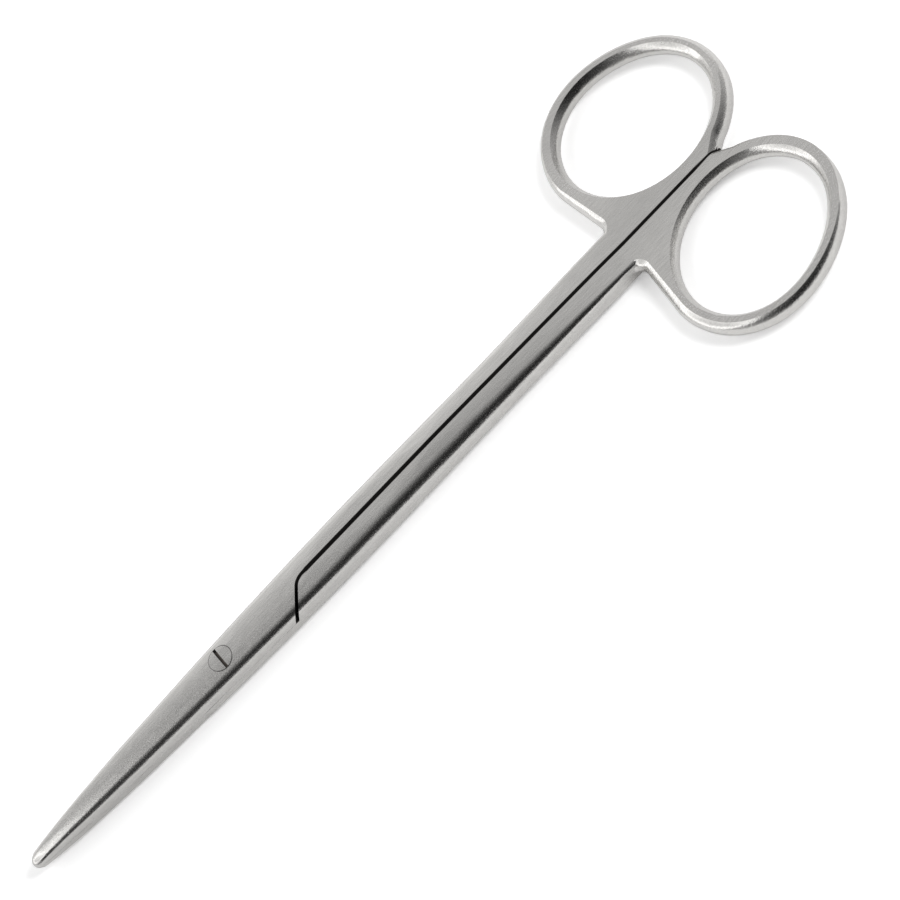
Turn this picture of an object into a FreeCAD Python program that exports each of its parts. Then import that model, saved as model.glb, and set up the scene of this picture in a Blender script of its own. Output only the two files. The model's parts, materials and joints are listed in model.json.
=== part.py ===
"""Dissecting scissors, straight and blunt-tipped, closed and lying flat.

Two crossed forged halves lap at a screw joint. X runs from the blade tips to the finger rings, Y across the
blades and Z up. The halves are the same forging turned over about the long axis, so one function makes both.
Each is drawn with its tip at x = 0, its slit at y = 0 and its lapped face at z = 0, then moved to the frame
whose origin is under the middle of the whole tool. Millimetres.
"""
import FreeCAD, Part
import math
import os
from FreeCAD import Placement, Rotation, Vector

os.makedirs("parts", exist_ok=True)

# Lengths along the tool
total_length = 145.0        # blade tips to the far end of the finger rings
tip_to_screw = 38.9
screw_to_shoulder = 15.1    # screw to the corner where the blade meets the slit
shoulder_angle = 53.0       # slant of the shoulder to the long axis, degrees
shoulder_draft = 31.0       # the shoulder leans towards the tips on its way down to the lap, degrees
shoulder_round = 1.6        # radius in the corner of the shoulder
shoulder_gap = 0.55         # open channel along the shoulder
slit_at_joint = 0.60        # gap between the shanks beside the shoulder
slit_at_rings = 0.40        # gap between the shanks at the rings
neck_to_ring = 13.7         # end of the rounded shank to the middle of the ring

# Body section: half width, half thickness, corner radius, slope of the crown in degrees
body_thickness = 4.58       # over both halves, ground flat at the joint
tip_section = (1.00, 0.92, 0.50, 6.0)
point_section = (1.71, 1.70, 0.85, 9.0)
blade_section = (2.52, 2.12, 1.20, 9.0)
screw_section = (3.27, 2.315, 1.32, 9.0)
shoulder_section = (3.72, 2.325, 1.45, 9.0)
waist_section = (3.87, 2.315, 1.85, 9.0)
shank_section = (3.78, 1.97, 1.32, 6.0)
neck_section = (3.74, 1.56, 0.55, 1.5)
root_section = (3.72, 1.38, 0.50, 1.5)
point_from_tip = 7.7
blade_from_tip = 20.0
waist_from_shoulder = 26.0
shank_from_neck = 17.0
root_past_neck = 3.5        # the shank ends hidden in the web
nose_length = 2.4           # the rounded nose of the closed blades
nose_radius = 1.45

# Blade faces
ride_clearance = 0.04       # between the lapped faces
hollow_depth = 0.12         # hollow grinding of the inner blade face
hollow_land = 0.40          # flat left along each edge of the hollow
hollow_from_tip = 4.0
hollow_to_screw = 6.0       # the hollow ends this far before the screw
edge_lean = 12.0            # the ground facet leans back from the cutting edge, degrees
edge_run_out = 7.0          # the facet fades out over this length before the screw

# Finger ring: half thickness, and each outline as middle (x, y), mean radius and ovalness
ring_half_thickness = 1.52
hole_from_slit = 2.12       # least metal between the ring's hole and the slit's middle line
ring_tilt = -17.7           # long axis of the oval, degrees
ring_egg = 0.12             # blunter towards the far end
hole_edge = (0.0, 0.0, 11.97, 0.74)
hole_waist = (-0.25, -0.10, 11.10, 0.70)
rim_front = (-0.30, 0.00, 12.90, 0.84)
rim_back = (0.25, 0.00, 12.95, 0.90)
rim_belly = (-0.33, -0.20, 13.87, 0.66)
barrel_levels = (           # height over half thickness, then the bulge reached outside and inside
    (1.00, 0.00, 0.00),
    (0.80, 0.50, 0.36),
    (0.45, 0.86, 0.80),
    (0.00, 1.00, 1.00),
)

# Web between shank and ring
web_start = 5.0             # hidden start of the web inside the shank, before the neck
web_past_slit = 1.0         # the web is drawn this far past the slit, which then trims it
web_leave_edge = 3.5        # the flat's edge leaves the slit this far past the ring's middle
web_leave_belly = 5.0
web_leave_angle = -60.0     # where the slit's straight side meets the oval, degrees
web_left_angle = 178.0      # where the left straight side meets the oval, degrees
crotch_edge = (1.15, 2.95, 2.3)      # side past the neck, side of the shank and fillet at the flat's edge
crotch_belly = (0.05, 3.70, 1.6)

# Joint screw
screw_head_radius = 1.85
screw_head_depth = 0.95
screw_radius = 1.20
screw_clearance = 0.05
screw_slot_width = 0.45
screw_slot_depth = 0.45

outline_steps = 16
roll_arcs = 3
past_body = 12.0            # how far cutting shapes reach past what they cut
far = 3.0 * total_length
tiny = 1e-6


def arc(a, b, c):
    return Part.Arc(Vector(*a), Vector(*b), Vector(*c)).toShape()


def line(a, b):
    return Part.LineSegment(Vector(*a), Vector(*b)).toShape()


def body_wire(x, half_width, half_thick, corner, crown):
    """Crowned, round-cornered section of the closed pair at x, each corner in a few short arcs."""
    slope = math.radians(crown)
    crown_radius = corner + (half_width - corner) / math.sin(slope)
    cy = half_width - corner
    cz = half_thick - crown_radius + (crown_radius - corner) * math.cos(slope)

    def spot(angle, side, face):
        return x, side * (cy + corner * math.sin(angle)), face * (cz + corner * math.cos(angle))

    def roll(start, end, side, face):
        step = (end - start) / roll_arcs
        turns = [start + step * i for i in range(roll_arcs)]
        return [arc(*(spot(turn + step * share, side, face) for share in (0, 0.5, 1))) for turn in turns]

    upright = math.pi / 2
    edges = [arc(spot(slope, -1, 1), (x, 0, half_thick), spot(slope, 1, 1))]
    edges += roll(slope, upright, 1, 1)
    edges.append(line(spot(upright, 1, 1), spot(upright, 1, -1)))
    edges += roll(upright, slope, 1, -1)
    edges.append(arc(spot(slope, 1, -1), (x, 0, -half_thick), spot(slope, -1, -1)))
    edges += roll(slope, upright, -1, -1)
    edges.append(line(spot(upright, -1, -1), spot(upright, -1, 1)))
    edges += roll(upright, slope, -1, 1)
    return Part.Wire(edges)


def oval_offset(angle, shape):
    """Offset from the ring's middle to an oval outline: a circle with an oval and an egg-shaped wave."""
    dx, dy, radius, oval = shape
    a = math.radians(angle)
    tilt = math.radians(ring_tilt)
    r = radius + oval * math.cos(2 * (a - tilt)) + ring_egg * math.cos(3 * a)
    return dx + r * math.cos(a), dy + r * math.sin(a)


def oval_point(angle, shape):
    dx, dy = oval_offset(angle, shape)
    return ring_x + dx, ring_side + dy


def mix(a, b, share):
    return tuple(u + (v - u) * share for u, v in zip(a, b))


def slit_half(x):
    """Half the slit's width at x: it narrows evenly from the shoulder to the rings."""
    return slit_at_joint / 2 + slit_slope * (x - shoulder_x)


all_round = range(0, 360)
ring_side = hole_from_slit - min(oval_offset(angle, hole_edge)[1] for angle in all_round)
ring_x = total_length - max(oval_offset(angle, rim_belly)[0] for angle in all_round)
neck_x = ring_x - neck_to_ring
shoulder_x = tip_to_screw + screw_to_shoulder
slit_slope = (slit_at_rings - slit_at_joint) / 2 / (ring_x - shoulder_x)
waist_x = shoulder_x + waist_from_shoulder


def body_envelope():
    """Outside of the closed blades and shanks: a loft, its nose rounded and its joint faces ground flat."""
    places = [
        (0.0, tip_section),
        (point_from_tip, point_section),
        (blade_from_tip, blade_section),
        (tip_to_screw, screw_section),
        (shoulder_x, shoulder_section),
        (waist_x, waist_section),
        (neck_x - shank_from_neck, shank_section),
        (neck_x, neck_section),
        (neck_x + root_past_neck, root_section),
    ]
    body = Part.makeLoft([body_wire(x, *section) for x, section in places], True, False)
    quarter = Part.Ellipse(Vector(nose_length, 0, 0), nose_length, nose_radius)
    outline = [
        Part.Arc(quarter, math.pi / 2, math.pi).toShape(),
        line((0, 0, 0), (far, 0, 0)),
        line((far, 0, 0), (far, far, 0)),
        line((far, far, 0), (nose_length, far, 0)),
        line((nose_length, far, 0), (nose_length, nose_radius, 0)),
    ]
    profile = Part.Face(Part.Wire(Part.__sortEdges__(outline)))
    nose = profile.revolve(Vector(0, 0, 0), Vector(1, 0, 0), 360)
    slab = Part.makeBox(far, far, body_thickness, Vector(-far / 2, -far / 2, -body_thickness / 2))
    return body.common(nose).common(slab)


def web_wire(z, shape, leave, crotch):
    """Outline of the ring and its web at height z, from the hidden end in the shank round the far side."""
    past_neck, side_y, fillet = crotch
    left_x = neck_x + past_neck
    start_x = neck_x - web_start
    leave_x = ring_x + leave
    turn = fillet * (1 - math.sqrt(0.5))
    span = web_left_angle - web_leave_angle
    angles = [web_leave_angle + span * i / outline_steps for i in range(outline_steps + 1)]
    oval = [oval_point(angle, shape) + (z,) for angle in angles]
    curve = Part.BSplineCurve()
    curve.interpolate(Points=[Vector(*point) for point in oval], Parameters=angles)
    notch_x, notch_y = oval[0][0], oval[0][1]
    reach = (notch_y + web_past_slit) / (notch_y - slit_half(leave_x))
    start = (start_x, -web_past_slit, z)
    leave_point = (notch_x + (leave_x - notch_x) * reach, -web_past_slit, z)
    foot = (left_x, side_y + fillet, z)
    heel = (left_x - fillet, side_y, z)
    back = (start_x, side_y, z)
    edges = [
        line(start, leave_point),
        line(leave_point, oval[0]),
        curve.toShape(),
        line(oval[-1], foot),
        arc(foot, (left_x - turn, side_y + turn, z), heel),
        line(heel, back),
        line(back, start),
    ]
    return Part.Wire(edges)


def hole_wire(z, shape):
    angles = [360.0 * i / outline_steps for i in range(outline_steps + 1)]
    points = [Vector(*oval_point(angle, shape), z) for angle in angles[:-1]]
    curve = Part.BSplineCurve()
    curve.interpolate(Points=points, PeriodicFlag=True, Parameters=angles)
    return Part.Wire(curve.toShape())


def ring_and_web():
    """Finger ring with ground flats front and back, barrel sides and the web that joins it to the shank."""
    outer = []
    inner = []
    top = [(level, out, into) for level, out, into in barrel_levels if level > 0]
    bottom = [(-level, out, into) for level, out, into in reversed(barrel_levels)]
    for level, out, into in top + bottom:
        z = level * ring_half_thickness
        rim = mix(rim_front if level > 0 else rim_back, rim_belly, out)
        leave = web_leave_edge + (web_leave_belly - web_leave_edge) * out
        outer.append(web_wire(z, rim, leave, mix(crotch_edge, crotch_belly, out)))
        inner.append(hole_wire(z, mix(hole_edge, hole_waist, into)))
    return Part.makeLoft(outer, True, False).cut(Part.makeLoft(inner, True, False))


def shoulder_corner(side):
    """Corner where one edge of the shoulder channel meets its edge of the slit; side is 1 at the blade."""
    a = math.radians(shoulder_angle)
    y = side * slit_half(shoulder_x)
    down = (side * shoulder_gap / 2 * math.cos(a) - y) / math.sin(a)
    x = shoulder_x - side * shoulder_gap / 2 * math.sin(a) - down * math.cos(a)
    return x, y


def corner_prism(points, z0, z1, lean, radius):
    """Prism on an outline given at the outer face, leaning with the draft, its first corner rounded."""
    drift = lean * math.tan(math.radians(shoulder_draft))
    outer_z = lean * body_thickness / 2
    lag = drift * (z0 - outer_z)
    foot = [Vector(x + lag, y + lag * slit_slope, z0) for x, y in points]
    rise = Vector(drift, drift * slit_slope, 1) * (z1 - z0)
    solid = Part.Face(Part.makePolygon(foot + foot[:1])).extrude(rise)
    middle = foot[0] + rise * 0.5
    corner = [edge for edge in solid.Edges if edge.CenterOfMass.isEqual(middle, tiny)]
    return solid.makeFillet(radius, corner)


def lap_recess():
    """Room for the other half: beside the slit at every height, and the blade under the lapped face."""
    end_x = total_length + past_body
    slant = past_body / math.tan(math.radians(shoulder_angle))
    blade_x, blade_y = shoulder_corner(1)
    shank_x, shank_y = shoulder_corner(-1)
    beside = [
        (blade_x, blade_y),
        (blade_x - slant, blade_y - past_body),
        (end_x, blade_y - past_body),
        (end_x, slit_half(end_x)),
    ]
    under = [
        (shank_x, -shank_y),
        (shank_x - slant, past_body - shank_y),
        (-past_body, past_body - shank_y),
        (-past_body, -past_body),
        (end_x, -past_body),
        (end_x, slit_half(end_x)),
    ]
    upper = corner_prism(beside, -past_body, past_body, 1, shoulder_round + shoulder_gap)
    lower = corner_prism(under, -past_body, ride_clearance / 2, -1, shoulder_round)
    return upper, lower


def blade_half_width(x):
    """Half width of the closed blades between two stations of the body."""
    stations = [(0.0, tip_section), (point_from_tip, point_section), (blade_from_tip, blade_section)]
    stations.append((tip_to_screw, screw_section))
    for (x0, near), (x1, away) in zip(stations, stations[1:]):
        if x <= x1:
            return near[0] + (away[0] - near[0]) * (x - x0) / (x1 - x0)
    return screw_section[0]


def edge_facet():
    """Wedge ground off behind the cutting edge at +Y on the lapped face; it fades before the screw."""
    lean = math.tan(math.radians(edge_lean))
    low = -past_body
    high = past_body
    wires = []
    for x, shift in facet_stations():
        y = blade_half_width(x) + shift
        away = y + past_body
        corners = [(x, y - low * lean, low), (x, y - high * lean, high), (x, away, high), (x, away, low)]
        wires.append(Part.makePolygon([Vector(*c) for c in corners + corners[:1]]))
    return Part.makeLoft(wires, True, True)


def facet_stations():
    end = tip_to_screw - edge_run_out
    fade = body_thickness * math.tan(math.radians(edge_lean))
    return [(0.0, 0.0), (point_from_tip, 0.0), (blade_from_tip, 0.0), (end, 0.0), (tip_to_screw, fade)]


def hollow():
    """Shallow hollow grinding of the inner blade face, a sliver of a cylinder between two flat lands."""
    wires = []
    face = ride_clearance / 2
    for x in (hollow_from_tip, blade_from_tip, tip_to_screw - hollow_to_screw):
        half = blade_half_width(x) - hollow_land
        wires.append(Part.Wire([
            line((x, half, face), (x, half, -past_body)),
            line((x, half, -past_body), (x, -half, -past_body)),
            line((x, -half, -past_body), (x, -half, face)),
            arc((x, -half, face), (x, 0, face + hollow_depth), (x, half, face)),
        ]))
    return Part.makeLoft(wires, True, True)


def make_half():
    """One forged half, its blade above the lapped face and its ring towards +Y."""
    upper, lower = lap_recess()
    forging = body_envelope().fuse(ring_and_web())
    return forging.cut(upper).cut(lower).cut(edge_facet()).cut(hollow()).removeSplitter()


def head_cone(clearance):
    """Countersunk head, drawn on past the blade's face so that it can be trimmed flush."""
    rise = screw_head_radius - screw_radius
    flare = rise / screw_head_depth
    height = screw_head_depth + past_body
    base = Vector(tip_to_screw, 0, body_thickness / 2 - screw_head_depth)
    low = screw_radius + clearance
    return Part.makeCone(low, low + flare * height, height, base, Vector(0, 0, 1))


def bore(radius):
    return Part.makeCylinder(radius, 2 * body_thickness, Vector(tip_to_screw, 0, -body_thickness))


def make_screw():
    """Joint screw: countersunk slotted head, plain shank and tapped end, both ends ground flush."""
    screw = head_cone(0.0).fuse(bore(screw_radius)).common(body_envelope())
    length = screw_head_radius + past_body
    corner = Vector(tip_to_screw - screw_slot_width / 2, -length / 2, body_thickness / 2 - screw_slot_depth)
    return screw.cut(Part.makeBox(screw_slot_width, length, body_thickness, corner))


def place(shape):
    """Move a finished piece to the tool's frame: middle of the length, underside at z = 0."""
    shape.translate(Vector(-total_length / 2, 0, body_thickness / 2))
    return shape


half = make_half()
front = half.cut(head_cone(screw_clearance)).cut(bore(screw_radius + screw_clearance))
turned = half.copy()
turned.rotate(Vector(0, 0, 0), Vector(1, 0, 0), 180)
back = turned.cut(bore(screw_radius))
for name, shape in (("front_half", front), ("back_half", back), ("joint_screw", make_screw())):
    place(shape).exportStep("parts/" + name + ".step")
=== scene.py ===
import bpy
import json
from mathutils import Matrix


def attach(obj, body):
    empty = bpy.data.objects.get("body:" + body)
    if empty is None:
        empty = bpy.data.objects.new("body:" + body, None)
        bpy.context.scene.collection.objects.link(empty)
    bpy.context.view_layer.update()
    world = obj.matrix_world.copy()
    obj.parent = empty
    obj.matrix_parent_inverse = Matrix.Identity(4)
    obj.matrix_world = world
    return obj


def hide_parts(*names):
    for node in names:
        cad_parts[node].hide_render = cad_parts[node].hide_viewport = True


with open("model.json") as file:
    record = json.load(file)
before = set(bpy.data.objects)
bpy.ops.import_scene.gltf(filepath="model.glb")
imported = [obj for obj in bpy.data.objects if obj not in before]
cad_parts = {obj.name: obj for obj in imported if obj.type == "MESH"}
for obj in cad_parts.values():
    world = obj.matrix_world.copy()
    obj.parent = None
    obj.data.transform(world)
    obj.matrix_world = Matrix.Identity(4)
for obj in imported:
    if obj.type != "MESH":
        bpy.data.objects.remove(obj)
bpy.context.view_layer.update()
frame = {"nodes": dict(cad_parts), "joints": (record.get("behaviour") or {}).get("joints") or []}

import json
import math

import bmesh
import bpy
from mathutils import Vector


# Forged halves: two like forgings of stainless steel, crossed at the joint. Each is one piece from blade
# tip to finger ring, ground to shape, hollow-ground inside the blade and satin-finished. The walls of the
# slit, the shoulder and the screw's bore carry painted shade: a dark, dull material for the shade in them.
half_bodies = {"front_half": "front", "back_half": "back"}
joint_x = frame["joints"][0]["pos_m"][0]
grain_per_metre = 5000.0
cloud_per_metre = 90.0
streak_length = 12.0        # the belt's streaks are this many times as long as they are wide
grain_octaves = 2.0
drawn_octaves = 3.0
noise_roughness = 0.55


def satin_finish_group():
    """Satin finish from object-space noise: fine grain, streaks left by the belt along X, and slow clouds.

    Streak and cloud are noise drawn out along X by streak_length, and height is half grain and half streak.
    Every output moves between 0 and 1 about a mean of one half.
    """
    group = bpy.data.node_groups.new("satin_finish", "ShaderNodeTree")
    for label, value in (("Grain per metre", grain_per_metre), ("Cloud per metre", cloud_per_metre)):
        socket = group.interface.new_socket(label, in_out="INPUT", socket_type="NodeSocketFloat")
        socket.default_value = value
    for label in ("Grain", "Streak", "Cloud", "Height"):
        group.interface.new_socket(label, in_out="OUTPUT", socket_type="NodeSocketFloat")
    nodes, links = group.nodes, group.links
    entry = nodes.new("NodeGroupInput")
    leave = nodes.new("NodeGroupOutput")
    place = nodes.new("ShaderNodeTexCoord")
    drawn_out = nodes.new("ShaderNodeVectorMath")
    drawn_out.operation = "MULTIPLY"
    drawn_out.inputs[1].default_value = (1.0 / streak_length, 1.0, 1.0)
    links.new(place.outputs["Object"], drawn_out.inputs[0])
    layers = {
        "Grain": (place.outputs["Object"], "Grain per metre", grain_octaves),
        "Streak": (drawn_out.outputs["Vector"], "Grain per metre", drawn_octaves),
        "Cloud": (drawn_out.outputs["Vector"], "Cloud per metre", drawn_octaves),
    }
    made = {}
    for label, (vector, scale, octaves) in layers.items():
        noise = nodes.new("ShaderNodeTexNoise")
        noise.inputs["Detail"].default_value = octaves
        noise.inputs["Roughness"].default_value = noise_roughness
        links.new(vector, noise.inputs["Vector"])
        links.new(entry.outputs[scale], noise.inputs["Scale"])
        links.new(noise.outputs["Fac"], leave.inputs[label])
        made[label] = noise.outputs["Fac"]
    height = nodes.new("ShaderNodeMix")
    height.inputs["Factor"].default_value = 0.5
    links.new(made["Grain"], height.inputs["A"])
    links.new(made["Streak"], height.inputs["B"])
    links.new(height.outputs["Result"], leave.inputs["Height"])
    return group


satin_finish = satin_finish_group()
# Painted shade along the slit's edges, which widens its dark line, and painted shadow round the screw's
# head.
slit_line = 0.00036         # the painted shade reaches this far from the slit's middle beside the shoulder
slit_closing = -0.0013      # and this much less for every metre towards the rings
slit_start = -0.0172
slit_end = 0.0612
line_fade = 0.00004         # the soft edge on each side of the line
start_fade = 0.0006         # the length over which the line comes in past the shoulder
end_fade = 0.002            # and over which it dies away before the rings
head_rim = 0.00188
rim_line = 0.00011
rim_way = (0.64, -0.77)     # towards the side of the head on which most of the painted shadow lies
rim_rise_start = -0.0008    # measured along that way from the screw's middle
rim_rise_end = 0.0004
rim_least = 0.12            # the share of the painted shadow that is left on the other side
patch_per_metre = 420.0
patch_low = 0.35            # noise at which the rim's painted shadow is thinnest
patch_high = 0.60           # and at which it is whole
patch_least = 0.55


def seam_shade_group():
    """Painted shade along the slit's edges, and painted shadow round the screw's head, heavier on one side.

    Beside the slit, the shade is 1 where the distance from its middle, y without its sign, is less than
    slit_line plus slit_closing times the distance past slit_start, and falls to 0 over line_fade. It comes
    in past slit_start over start_fade, and dies away over end_fade before slit_end. Round the screw it is 1
    on the head's rim, falls to 0 at rim_line from it, and is multiplied by slow noise, from patch_least to
    1, and by a rise across the head along rim_way, from rim_least to 1.
    """
    group = bpy.data.node_groups.new("seam_shade", "ShaderNodeTree")
    group.interface.new_socket("Painted shade", in_out="OUTPUT", socket_type="NodeSocketFloat")
    nodes, links = group.nodes, group.links
    leave = nodes.new("NodeGroupOutput")
    place = nodes.new("ShaderNodeTexCoord")
    split = nodes.new("ShaderNodeSeparateXYZ")
    links.new(place.outputs["Object"], split.inputs["Vector"])

    def figure(operation, *values):
        node = nodes.new("ShaderNodeMath")
        node.operation = operation
        for socket, value in zip(node.inputs, values):
            if isinstance(value, float):
                socket.default_value = value
            else:
                links.new(value, socket)
        return node.outputs["Value"]

    def ramp(value, start, end, at_start, at_end):
        node = nodes.new("ShaderNodeMapRange")
        limits = {"From Min": start, "From Max": end, "To Min": at_start, "To Max": at_end}
        for label, number in limits.items():
            node.inputs[label].default_value = number
        links.new(value, node.inputs["Value"])
        return node.outputs["Result"]

    x, y = split.outputs["X"], split.outputs["Y"]
    along = figure("SUBTRACT", x, slit_start)
    half_width = figure("MULTIPLY_ADD", along, slit_closing, slit_line)
    past_line = figure("SUBTRACT", figure("ABSOLUTE", y), half_width)
    begun = ramp(along, 0.0, start_fade, 0.0, 1.0)
    slit_shade = figure("MULTIPLY", ramp(past_line, 0.0, line_fade, 1.0, 0.0), begun)
    slit_shade = figure("MULTIPLY", slit_shade, ramp(x, slit_end - end_fade, slit_end, 1.0, 0.0))
    from_screw = figure("SUBTRACT", x, joint_x)
    squares = figure("ADD", figure("MULTIPLY", from_screw, from_screw), figure("MULTIPLY", y, y))
    from_rim = figure("ABSOLUTE", figure("SUBTRACT", figure("SQRT", squares), head_rim))
    patches = nodes.new("ShaderNodeTexNoise")
    patches.inputs["Scale"].default_value = patch_per_metre
    links.new(place.outputs["Object"], patches.inputs["Vector"])
    uneven = ramp(patches.outputs["Fac"], patch_low, patch_high, patch_least, 1.0)
    across = figure("ADD", figure("MULTIPLY", from_screw, rim_way[0]), figure("MULTIPLY", y, rim_way[1]))
    rim_shadow = figure("MULTIPLY", ramp(from_rim, 0.0, rim_line, 1.0, 0.0), uneven)
    rim_shadow = figure("MULTIPLY", rim_shadow, ramp(across, rim_rise_start, rim_rise_end, rim_least, 1.0))
    links.new(figure("MAXIMUM", slit_shade, rim_shadow), leave.inputs["Painted shade"])
    return group


seam_shade = seam_shade_group()
bare_specular = 0.5         # Blender's plain level
drift_low = 0.12            # cloud times streak at which the steel shows its shade
drift_high = 0.40           # and at which it shows its full colour
grain_low = 0.3             # grain at which the steel is smoothest
grain_high = 0.7            # and at which it is roughest
roughness_swing = 0.05
# The dark colour of the seam's painted shade, along the slit and round the screw's head.
painted_shade_colour = (0.02, 0.018, 0.016, 1.0)


def steel_material(label, colour, shade, roughness, relief, metal=1.0, seam_shade_share=1.0):
    """Steel: cloud and streak vary its colour, grain its roughness, and grain and streak its normal.

    The colour goes from shade to colour as cloud times streak goes from drift_low to drift_high. Roughness
    rises by twice roughness_swing, about its mean, as grain goes from grain_low to grain_high. relief is
    the finish's height in metres. metal is 1 for bare steel and 0 for the dark, dull painted shade on inner
    walls, which has no shine either. seam_shade_share is the share of the seam's painted shade that shows,
    from 0 to 1.
    """
    material = bpy.data.materials.new(label)
    material.use_nodes = True
    nodes, links = material.node_tree.nodes, material.node_tree.links
    shader = nodes["Principled BSDF"]
    shader.inputs["Metallic"].default_value = metal
    shader.inputs["Specular IOR Level"].default_value = bare_specular * metal
    finish = nodes.new("ShaderNodeGroup")
    finish.node_tree = satin_finish
    drift = nodes.new("ShaderNodeMath")
    drift.operation = "MULTIPLY"
    links.new(finish.outputs["Cloud"], drift.inputs[0])
    links.new(finish.outputs["Streak"], drift.inputs[1])
    reach = nodes.new("ShaderNodeMapRange")
    reach.inputs["From Min"].default_value = drift_low
    reach.inputs["From Max"].default_value = drift_high
    links.new(drift.outputs["Value"], reach.inputs["Value"])
    tint = nodes.new("ShaderNodeMix")
    tint.data_type = "RGBA"
    tint.inputs["A"].default_value = shade
    tint.inputs["B"].default_value = colour
    links.new(reach.outputs["Result"], tint.inputs["Factor"])
    # The seam's painted shade mixes the colour towards its dark colour.
    seam_shading = nodes.new("ShaderNodeGroup")
    seam_shading.node_tree = seam_shade
    shown = nodes.new("ShaderNodeMath")
    shown.operation = "MULTIPLY"
    shown.inputs[1].default_value = seam_shade_share
    links.new(seam_shading.outputs["Painted shade"], shown.inputs[0])
    shaded_colour = nodes.new("ShaderNodeMix")
    shaded_colour.data_type = "RGBA"
    shaded_colour.inputs["B"].default_value = painted_shade_colour
    links.new(shown.outputs["Value"], shaded_colour.inputs["Factor"])
    links.new(tint.outputs["Result"], shaded_colour.inputs["A"])
    links.new(shaded_colour.outputs["Result"], shader.inputs["Base Color"])
    spread = nodes.new("ShaderNodeMapRange")
    spread.inputs["From Min"].default_value = grain_low
    spread.inputs["From Max"].default_value = grain_high
    spread.inputs["To Min"].default_value = roughness - roughness_swing
    spread.inputs["To Max"].default_value = roughness + roughness_swing
    links.new(finish.outputs["Grain"], spread.inputs["Value"])
    links.new(spread.outputs["Result"], shader.inputs["Roughness"])
    bump = nodes.new("ShaderNodeBump")
    bump.inputs["Strength"].default_value = 1.0
    bump.inputs["Distance"].default_value = relief
    links.new(finish.outputs["Height"], bump.inputs["Height"])
    links.new(bump.outputs["Normal"], shader.inputs["Normal"])
    return material


satin_steel = steel_material(
    "satin_steel", colour=(0.68, 0.668, 0.65, 1.0), shade=(0.55, 0.541, 0.527, 1.0),
    roughness=0.24, relief=2.8e-5)
# Painted shade: a dark, dull material that stands for the shade on walls deep inside the pair.
painted_wall_shade = steel_material(
    "painted_wall_shade", colour=(0.048, 0.046, 0.044, 1.0), shade=(0.03, 0.0285, 0.027, 1.0),
    roughness=0.7, relief=1.4e-5, metal=0.0, seam_shade_share=0.0)
shoulder_x = joint_x + 0.0151
steep_face = 0.62           # a wall's normal has less than this along Z
slanted_face = 0.5          # and a wall of the shoulder more than this along X
wall_reach = 0.0029         # how far from the joint, on each side, its inner walls lie
slit_reach = 0.00035        # half width of the strip in which the slit's walls lie
shoulder_reach = 0.008      # how far the shoulder's walls lie from shoulder_x, each way


def inner_wall(centre, normal):
    """Whether a face is a wall of the slit, the shoulder's channel or the screw's bore, painted in shade.
    """
    if abs(normal.z) > steep_face:
        return False
    in_slit = abs(centre.y) < slit_reach and centre.x > shoulder_x
    in_joint = abs(centre.y) < wall_reach and joint_x - wall_reach < centre.x < shoulder_x + wall_reach
    of_shoulder = abs(normal.x) > slanted_face and abs(centre.x - shoulder_x) < shoulder_reach
    return in_slit or in_joint or of_shoulder


weld_distance = 2e-6
level_face = 0.99999        # a level flat's normal has more than this along Z
crease_angle = math.radians(28.0)
level_crease = math.radians(12.0)
flat_weight = 80            # large flats outweigh narrow rounds in shared normals; 50 is even


def finished_copy(node_name, materials, material_number):
    """A welded copy of a CAD node, smooth in its rounds, creased round level flats and where faces meet.

    Two faces meet in a crease where the angle between them is crease_angle or more, or level_crease or more
    where only one of them is level. Each face gets the material whose number material_number gives for its
    centre and normal.
    """
    node = frame["nodes"][node_name]
    mesh = node.data.copy()
    mesh.materials.clear()
    for material in materials:
        mesh.materials.append(material)
    work = bmesh.new()
    work.from_mesh(mesh)
    bmesh.ops.remove_doubles(work, verts=work.verts, dist=weld_distance)
    for face in work.faces:
        face.normal_update()
        face.smooth = True
        face.material_index = int(material_number(face.calc_center_median(), face.normal))
    for edge in work.edges:
        levels = {abs(face.normal.z) > level_face for face in edge.link_faces}
        limit = crease_angle if len(levels) == 1 else level_crease
        edge.smooth = edge.calc_face_angle(0.0) < limit
    work.to_mesh(mesh)
    work.free()
    piece = bpy.data.objects.new(node_name + "_finished", mesh)
    bpy.context.scene.collection.objects.link(piece)
    even = piece.modifiers.new("even_flats", "WEIGHTED_NORMAL")
    even.keep_sharp = True
    even.weight = flat_weight
    return piece


for node_name, body in half_bodies.items():
    half = finished_copy(node_name, (satin_steel, painted_wall_shade), inner_wall)
    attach(half, body)
    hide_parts(node_name)


# Joint screw: turned from stainless bar, slotted for a screwdriver and ground flush with the blade. It is
# threaded into the back half, so it turns with that one. Its steep walls carry the painted wall shade, and
# its slot's floor is a darker, brownish and rougher steel.
screw_steel = steel_material(
    "screw_steel", colour=(0.62, 0.61, 0.595, 1.0), shade=(0.53, 0.522, 0.508, 1.0),
    roughness=0.24, relief=2.4e-5)
slot_floor = steel_material(
    "slot_floor", colour=(0.17, 0.15, 0.135, 1.0), shade=(0.09, 0.08, 0.07, 1.0),
    roughness=0.45, relief=1.4e-5)
screw_steep = 0.72          # so that the cone under the head counts as steep too
slot_level = 0.0042         # the slot's floor lies just under this height
under_level = 0.0002        # and the screw's lower end under this one


def screw_part(centre, normal):
    """The number of a face's material: 0 on the ground ends, 1 on steep walls, 2 on the slot's floor."""
    if abs(normal.z) < screw_steep:
        return 1
    return 2 if under_level < centre.z < slot_level else 0


screw = finished_copy("joint_screw", (screw_steel, painted_wall_shade, slot_floor), screw_part)
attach(screw, "back")
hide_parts("joint_screw")


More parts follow.
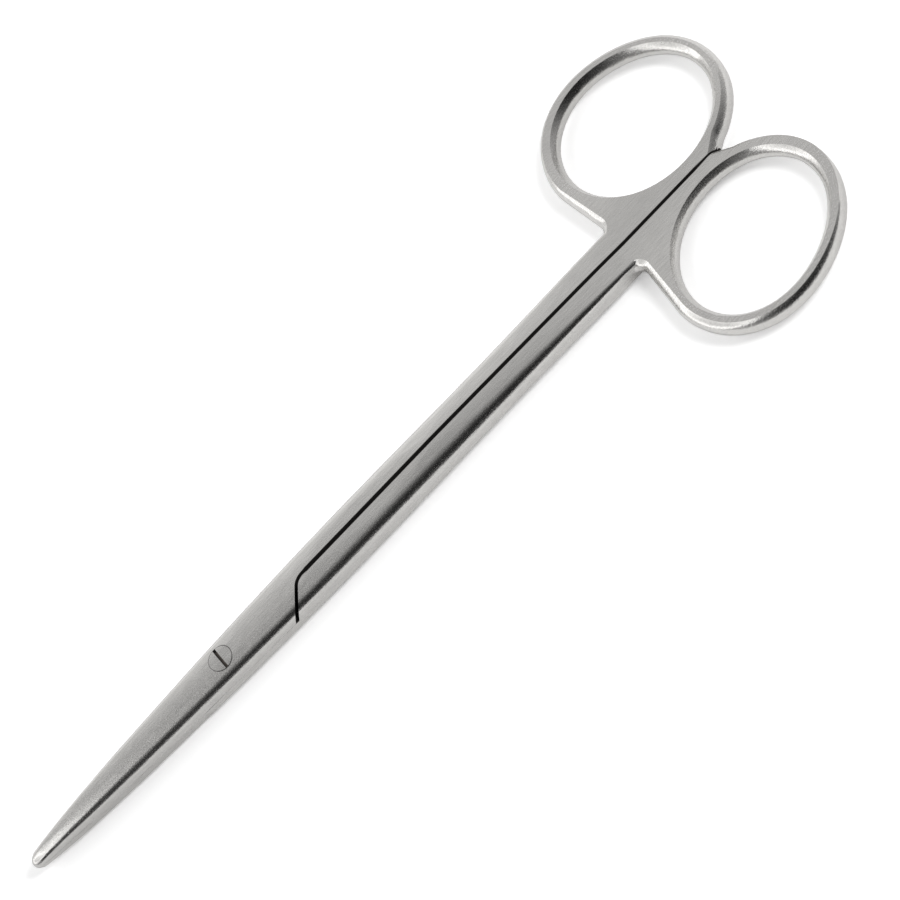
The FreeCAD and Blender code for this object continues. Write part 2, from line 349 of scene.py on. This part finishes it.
# Camera: where the photograph was taken from, on the side of the back half's ring and 36 degrees off the
# vertical. It is turned so that the tool lies across the frame from corner to corner, and its long lens
# keeps both ends of the tool at nearly the same scale.
eye = Vector((0.04794, -0.33167, 0.45607))
eye_turn = tuple(math.radians(angle) for angle in (24.432, 27.573, -38.752))
camera_data = bpy.data.cameras.new("camera")
camera_data.sensor_width = 36.0
camera_data.lens = 165.4
camera_data.clip_start = 0.01
camera = bpy.data.objects.new("camera", camera_data)
camera.location = eye
camera.rotation_euler = eye_turn
bpy.context.scene.collection.objects.link(camera)
bpy.context.scene.camera = camera


# Table: a white painted board, on which the pair lies. Besides the light that falls on it, it has a glow
# for the camera, so that it reads as white and still takes the tool's faint shadow, and a fainter one for
# the steel that mirrors it.
half_table = 1.5
table_paint = 0.97
glow_seen = 0.31
glow_mirrored = 0.05
corners = [(-half_table, -half_table, 0.0), (half_table, -half_table, 0.0)]
corners += [(half_table, half_table, 0.0), (-half_table, half_table, 0.0)]
table_data = bpy.data.meshes.new("table")
table_data.from_pydata(corners, [], [(0, 1, 2, 3)])
table = bpy.data.objects.new("table", table_data)
bpy.context.scene.collection.objects.link(table)
table_white = bpy.data.materials.new("table_white")
table_white.use_nodes = True
nodes, links = table_white.node_tree.nodes, table_white.node_tree.links
paint = nodes["Principled BSDF"]
paint.inputs["Base Color"].default_value = (table_paint, table_paint, table_paint, 1.0)
paint.inputs["Roughness"].default_value = 1.0
paint.inputs["Specular IOR Level"].default_value = 0.0
glow = nodes.new("ShaderNodeEmission")
glow.inputs["Color"].default_value = (glow_seen, glow_seen, glow_seen, 1.0)
dim = nodes.new("ShaderNodeEmission")
dim.inputs["Color"].default_value = (glow_mirrored, glow_mirrored, glow_mirrored, 1.0)
none = nodes.new("ShaderNodeEmission")
none.inputs["Strength"].default_value = 0.0
path = nodes.new("ShaderNodeLightPath")
mirrored = nodes.new("ShaderNodeMixShader")
links.new(path.outputs["Is Glossy Ray"], mirrored.inputs["Fac"])
links.new(none.outputs["Emission"], mirrored.inputs[1])
links.new(dim.outputs["Emission"], mirrored.inputs[2])
looked_at = nodes.new("ShaderNodeMixShader")
links.new(path.outputs["Is Camera Ray"], looked_at.inputs["Fac"])
links.new(mirrored.outputs["Shader"], looked_at.inputs[1])
links.new(glow.outputs["Emission"], looked_at.inputs[2])
both = nodes.new("ShaderNodeAddShader")
links.new(paint.outputs["BSDF"], both.inputs[0])
links.new(looked_at.outputs["Shader"], both.inputs[1])
links.new(both.outputs["Shader"], nodes["Material Output"].inputs["Surface"])
table_data.materials.append(table_white)


# Room: pale walls that grow dark on the side behind the camera, and a soft window past the tips' end, both
# of which the steel mirrors. Each pair in a list is a place, from 0 opposite that side to 1 towards it, and
# the tone there.
dark_side = Vector((0.07, -0.785, 0.615)).normalized()
room_tones = (
    (0.0, 1.25), (0.19, 1.15), (0.315, 0.95), (0.515, 0.66),
    (0.765, 0.36), (0.86, 0.21), (0.94, 0.06), (1.0, 0.01))
window_side = Vector((-0.78, 0.16, 0.60)).normalized()
window_tones = ((0.0, 0.0), (0.89, 0.0), (0.905, 0.3), (0.935, 2.2), (0.95, 1.5), (0.97, 0.8), (1.0, 0.5))
beside_window = ((0.0, 1.0), (0.825, 1.04), (0.85, 0.76), (0.875, 0.6), (1.0, 0.6))
room = bpy.data.worlds.new("room")
room.use_nodes = True
bpy.context.scene.world = room
nodes, links = room.node_tree.nodes, room.node_tree.links
nodes.clear()
gaze = nodes.new("ShaderNodeTexCoord")


def tones_about(way, stops):
    """Grey tones that depend only on the angle to one direction.

    A tone's place between the stops is half of one plus the angle's cosine.
    """
    toward = nodes.new("ShaderNodeVectorMath")
    toward.operation = "DOT_PRODUCT"
    toward.inputs[1].default_value = way
    links.new(gaze.outputs["Generated"], toward.inputs[0])
    share = nodes.new("ShaderNodeMapRange")
    share.inputs["From Min"].default_value = -1.0
    links.new(toward.outputs["Value"], share.inputs["Value"])
    tones = nodes.new("ShaderNodeValToRGB")
    ramp = tones.color_ramp
    while len(ramp.elements) < len(stops):
        ramp.elements.new(0.5)
    for element, (position, tone) in zip(ramp.elements, stops):
        element.position = position
        element.color = (tone, tone, tone, 1.0)
    links.new(share.outputs["Result"], tones.inputs["Fac"])
    return tones.outputs["Color"]


# The walls' tone is the room's, times the shade beside the window, plus the window's own light.
walls = nodes.new("ShaderNodeVectorMath")
walls.operation = "MULTIPLY_ADD"
links.new(tones_about(dark_side, room_tones), walls.inputs[0])
links.new(tones_about(window_side, beside_window), walls.inputs[1])
links.new(tones_about(window_side, window_tones), walls.inputs[2])
shine = nodes.new("ShaderNodeBackground")
links.new(walls.outputs["Vector"], shine.inputs["Color"])
white = nodes.new("ShaderNodeBackground")
white.inputs["Color"].default_value = (1.0, 1.0, 1.0, 1.0)
seen = nodes.new("ShaderNodeLightPath")
choose = nodes.new("ShaderNodeMixShader")
links.new(seen.outputs["Is Camera Ray"], choose.inputs["Fac"])
links.new(shine.outputs["Background"], choose.inputs[1])
links.new(white.outputs["Background"], choose.inputs[2])
output = nodes.new("ShaderNodeOutputWorld")
links.new(choose.outputs["Shader"], output.inputs["Surface"])


# Softbox: a lamp behind a diffuser, past the rings' end and on the camera's side. It casts the pair's soft
# shadow towards the tips' end, and the steel doesn't mirror it.
lamp_way = Vector((0.64, -0.30, 0.71)).normalized()
lamp_distance = 0.6
lamp_data = bpy.data.lights.new("softbox", "AREA")
lamp_data.size = 0.22
lamp_data.energy = 1.8
lamp = bpy.data.objects.new("softbox", lamp_data)
lamp.location = lamp_way * lamp_distance
lamp.rotation_euler = lamp_way.to_track_quat("Z", "Y").to_euler()
lamp.visible_glossy = False
bpy.context.scene.collection.objects.link(lamp)

bpy.context.scene.view_settings.view_transform = "Standard"
